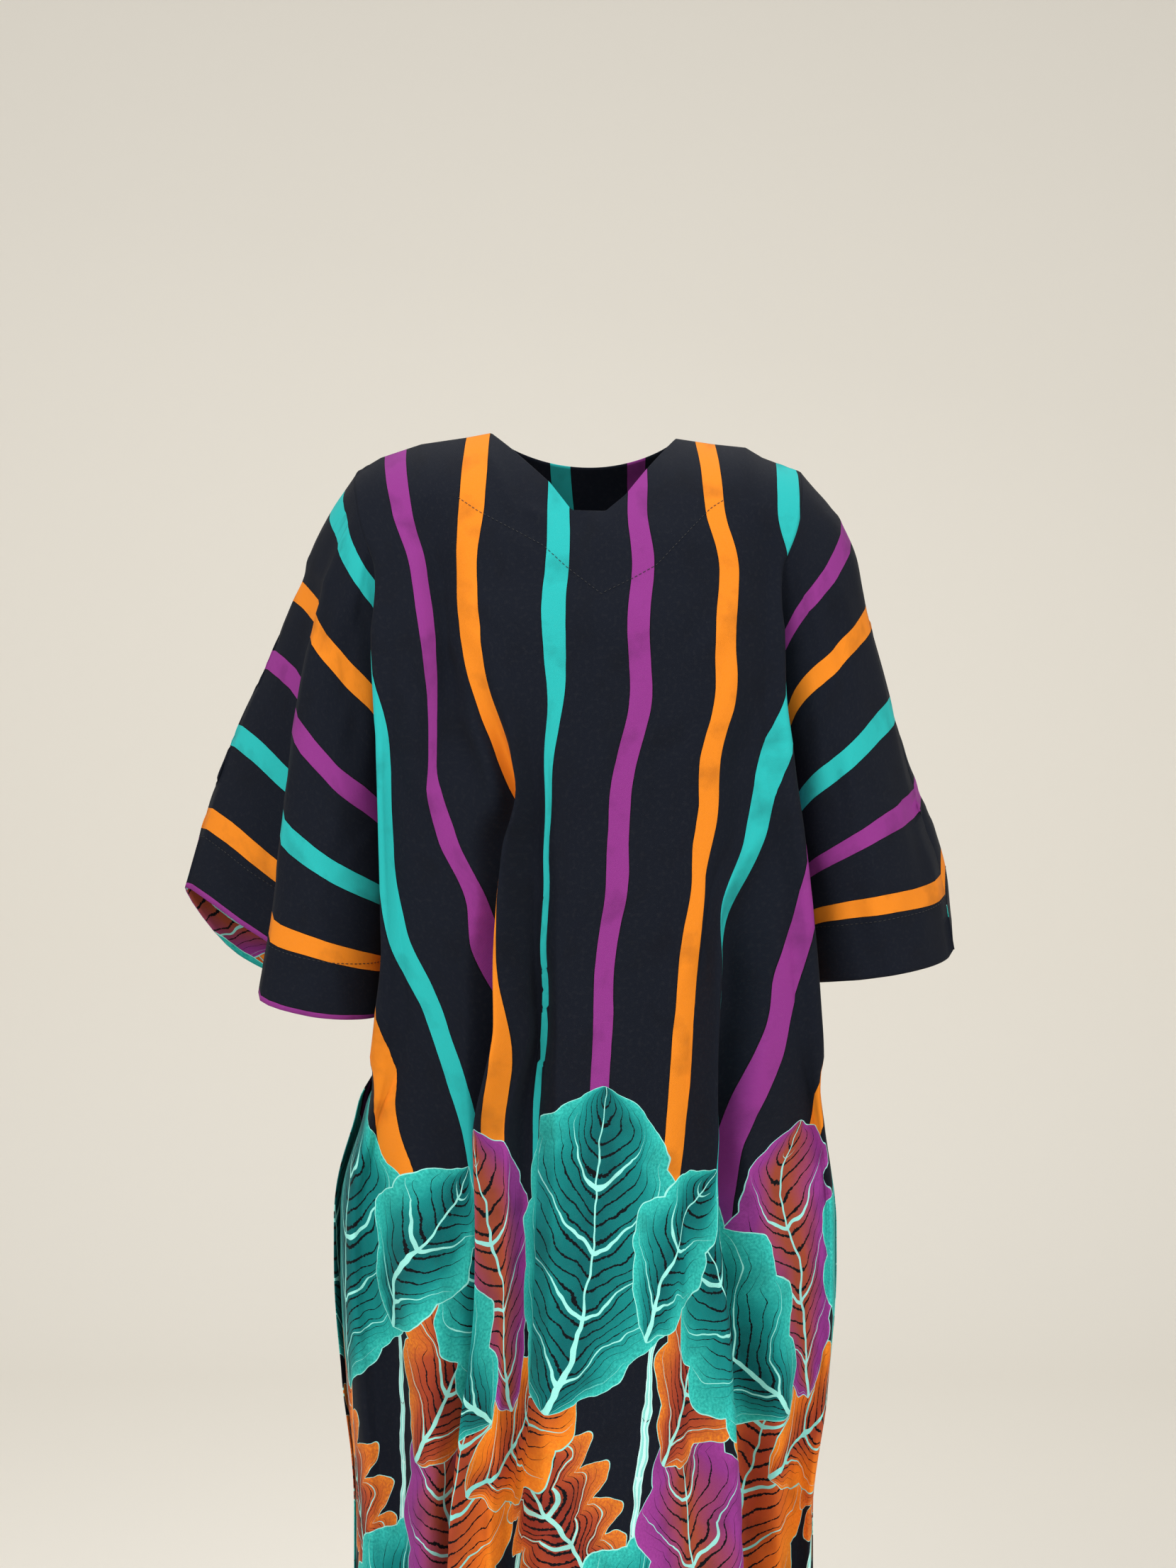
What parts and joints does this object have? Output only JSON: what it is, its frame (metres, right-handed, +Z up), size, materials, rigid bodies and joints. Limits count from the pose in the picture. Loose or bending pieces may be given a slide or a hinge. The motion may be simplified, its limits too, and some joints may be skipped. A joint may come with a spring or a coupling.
{
  "type": "ankara dress",
  "caption": "Worn, open-ended kaftan dress with a V neck, wide elbow sleeves with turned cuffs, deep hanging folds and side-seam pockets.",
  "frame": {"origin": "between the wearer's shoulders, level with the shoulder line, where the body carries the dress", "axes": "+Z up, the front faces -Y, +X to the wearer's left"},
  "size_m": [0.6815, 0.3516, 1.3041],
  "materials": {
    "striped_cotton": "plain woven printed cotton, black with teal, purple and orange stripes, matte",
    "leaf_cotton": "the same cotton cut from the leaf border print, matte"
  },
  "bodies": {
    "root": {"front": "striped_cotton", "back": "striped_cotton", "sleeve_left": "striped_cotton", "sleeve_right": "striped_cotton", "cuff_facing_left": "leaf_cotton", "cuff_facing_right": "leaf_cotton", "pocket_left": "leaf_cotton", "pocket_right": "leaf_cotton"}
  },
  "joints": []
}
